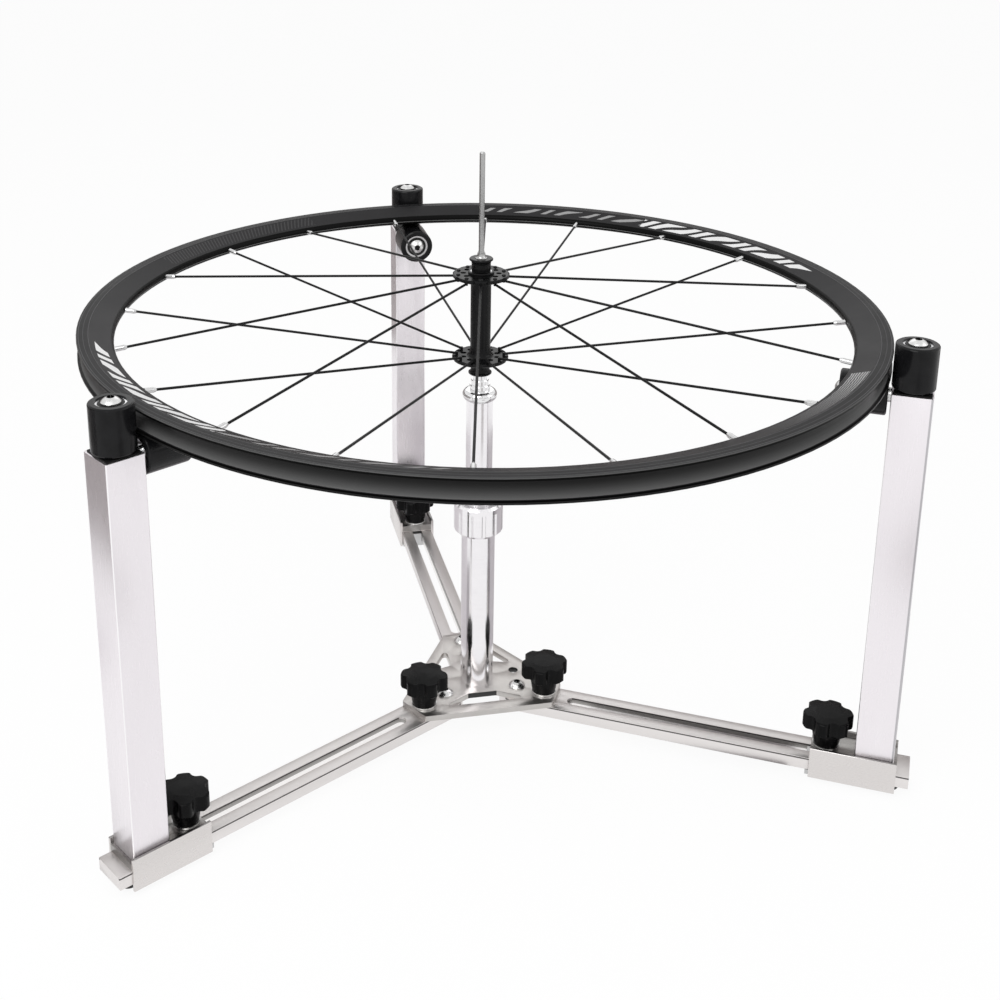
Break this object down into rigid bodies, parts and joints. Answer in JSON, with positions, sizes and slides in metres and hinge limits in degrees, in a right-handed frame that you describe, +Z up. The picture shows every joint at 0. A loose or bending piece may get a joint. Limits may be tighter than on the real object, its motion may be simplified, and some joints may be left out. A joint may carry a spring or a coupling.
{
  "type": "bicycle wheel truing stand",
  "caption": "Tripod truing stand for a spoked wheel laid flat: slotted arms carry sliding square posts with guide and support rollers round a central stepped hub cone",
  "frame": {"origin": "on the column axis, at the underside of the base plate", "axes": "+Z up along the column, +Y along the fixed back arm, +X to the right arm's side"},
  "size_m": [0.6394, 0.6775, 0.4942],
  "materials": {
    "plate_silver": "polished, fine milling marks",
    "arm_silver": "satin, drawn lengthwise",
    "screw_steel": "bright zinc",
    "foot_rubber": "matte",
    "column_polish": "polished, turned",
    "black_nylon": "smooth",
    "cone_chrome": "polished",
    "rod_steel": "bright drawn",
    "hub_black": "gloss black anodised",
    "bearing_steel": "ground",
    "rim_black": "satin black anodised, turned tracks",
    "spoke_black": "satin black",
    "nipple_silver": "nickel plated",
    "carriage_silver": "satin",
    "post_silver": "satin anodised",
    "plug_black": "moulded",
    "clamp_steel": "plain",
    "roller_black": "satin turned",
    "knob_black": "matte moulded"
  },
  "bodies": {
    "stand_base": {"base_plate": "plate_silver", "arm_left": "arm_silver", "arm_right": "arm_silver", "arm_back": "arm_silver", "base_screws": "screw_steel", "feet": "foot_rubber", "column_tube": "column_polish", "column_bush": "black_nylon", "column_plug": "black_nylon"},
    "collar": {"clamp_collar": "column_polish"},
    "slider": {"inner_tube": "column_polish", "stepped_cone": "cone_chrome", "centre_rod": "rod_steel"},
    "axle": {"hub_axle": "hub_black", "axle_caps": "hub_black"},
    "nut": {"rod_nut": "rod_steel"},
    "wheel": {"hub_flanges": "hub_black", "hub_barrel": "hub_black", "hub_bearings": "bearing_steel", "rim": "rim_black", "spokes": "spoke_black", "nipples": "nipple_silver"},
    "carriage_left": {"carriage_left": "carriage_silver", "post_left": "post_silver", "plugs_left": "plug_black", "bolts_left": "screw_steel", "clamp_left": "clamp_steel"},
    "guide_left": {"guide_roller_left": "roller_black", "guide_bearings_left": "bearing_steel"},
    "support_left": {"support_roller_left": "roller_black", "support_bearings_left": "bearing_steel"},
    "lock_left": {"knob_left": "knob_black", "stud_left": "screw_steel"},
    "carriage_right": {"carriage_right": "carriage_silver", "post_right": "post_silver", "plugs_right": "plug_black", "bolts_right": "screw_steel", "clamp_right": "clamp_steel"},
    "guide_right": {"guide_roller_right": "roller_black", "guide_bearings_right": "bearing_steel"},
    "support_right": {"support_roller_right": "roller_black", "support_bearings_right": "bearing_steel"},
    "lock_right": {"knob_right": "knob_black", "stud_right": "screw_steel"},
    "carriage_back": {"carriage_back": "carriage_silver", "post_back": "post_silver", "plugs_back": "plug_black", "bolts_back": "screw_steel", "clamp_back": "clamp_steel"},
    "guide_back": {"guide_roller_back": "roller_black", "guide_bearings_back": "bearing_steel"},
    "support_back": {"support_roller_back": "roller_black", "support_bearings_back": "bearing_steel"},
    "lock_back": {"knob_back": "knob_black", "stud_back": "screw_steel"},
    "base_lock_left": {"base_knob_left": "knob_black", "base_stud_left": "screw_steel"},
    "base_lock_right": {"base_knob_right": "knob_black", "base_stud_right": "screw_steel"}
  },
  "joints": [
    {"name": "collar_turn", "type": "hinge", "parent": "stand_base", "child": "collar", "pos_m": [0, 0, 0.162], "axis": [0, 0, 1], "range_deg": [0, 90]},
    {"name": "column_slide", "type": "slide", "parent": "stand_base", "child": "slider", "axis": [0, 0, 1], "range_m": [0, 0.05]},
    {"name": "wheel_lift", "type": "slide", "parent": "slider", "child": "axle", "axis": [0, 0, 1], "range_m": [0, 0.19]},
    {"name": "nut_lift", "type": "slide", "parent": "axle", "child": "nut", "axis": [0, 0, 1], "range_m": [0, 0.09]},
    {"name": "wheel_spin", "type": "hinge", "parent": "axle", "child": "wheel", "pos_m": [0, 0, 0.3387], "axis": [0, 0, 1], "continuous": true},
    {"name": "carriage_left_slide", "type": "slide", "parent": "stand_base", "child": "carriage_left", "axis": [-0.866, -0.5, 0], "range_m": [0, 0.02]},
    {"name": "guide_left_spin", "type": "hinge", "parent": "carriage_left", "child": "guide_left", "pos_m": [-0.28843, -0.16653, 0.3387], "axis": [0, 0, 1], "continuous": true},
    {"name": "support_left_spin", "type": "hinge", "parent": "carriage_left", "child": "support_left", "pos_m": [-0.25829, -0.14913, 0.31365], "axis": [-0.866, -0.5, 0], "continuous": true},
    {"name": "knob_left_turn", "type": "hinge", "parent": "carriage_left", "child": "lock_left", "pos_m": [-0.25569, -0.14763, 0.02], "axis": [0, 0, 1], "range_deg": [0, 720]},
    {"name": "carriage_right_slide", "type": "slide", "parent": "stand_base", "child": "carriage_right", "axis": [0.866, -0.5, 0], "range_m": [0, 0.02]},
    {"name": "guide_right_spin", "type": "hinge", "parent": "carriage_right", "child": "guide_right", "pos_m": [0.28843, -0.16653, 0.3387], "axis": [0, 0, 1], "continuous": true},
    {"name": "support_right_spin", "type": "hinge", "parent": "carriage_right", "child": "support_right", "pos_m": [0.25829, -0.14913, 0.31365], "axis": [0.866, -0.5, 0], "continuous": true},
    {"name": "knob_right_turn", "type": "hinge", "parent": "carriage_right", "child": "lock_right", "pos_m": [0.25569, -0.14763, 0.02], "axis": [0, 0, 1], "range_deg": [0, 720]},
    {"name": "carriage_back_slide", "type": "slide", "parent": "stand_base", "child": "carriage_back", "axis": [0, 1, 0], "range_m": [0, 0.02]},
    {"name": "guide_back_spin", "type": "hinge", "parent": "carriage_back", "child": "guide_back", "pos_m": [0, 0.33305, 0.3432], "axis": [0, 0, 1], "continuous": true},
    {"name": "support_back_spin", "type": "hinge", "parent": "carriage_back", "child": "support_back", "pos_m": [0, 0.29825, 0.31365], "axis": [0, 1, 0], "continuous": true},
    {"name": "knob_back_turn", "type": "hinge", "parent": "carriage_back", "child": "lock_back", "pos_m": [0, 0.29525, 0.02], "axis": [0, 0, 1], "range_deg": [0, 720]},
    {"name": "base_knob_left_turn", "type": "hinge", "parent": "stand_base", "child": "base_lock_left", "pos_m": [-0.05222, -0.03015, 0.02], "axis": [0, 0, 1], "range_deg": [0, 720]},
    {"name": "base_knob_right_turn", "type": "hinge", "parent": "stand_base", "child": "base_lock_right", "pos_m": [0.05222, -0.03015, 0.02], "axis": [0, 0, 1], "range_deg": [0, 720]}
  ],
  "couplings": [
    {"joint": "guide_left_spin", "follows": "wheel_spin", "ratio": -20.127},
    {"joint": "support_left_spin", "follows": "wheel_spin", "ratio": -18.936},
    {"joint": "guide_right_spin", "follows": "wheel_spin", "ratio": -20.127},
    {"joint": "support_right_spin", "follows": "wheel_spin", "ratio": -18.936},
    {"joint": "guide_back_spin", "follows": "wheel_spin", "ratio": -20.127},
    {"joint": "support_back_spin", "follows": "wheel_spin", "ratio": -18.936}
  ]
}
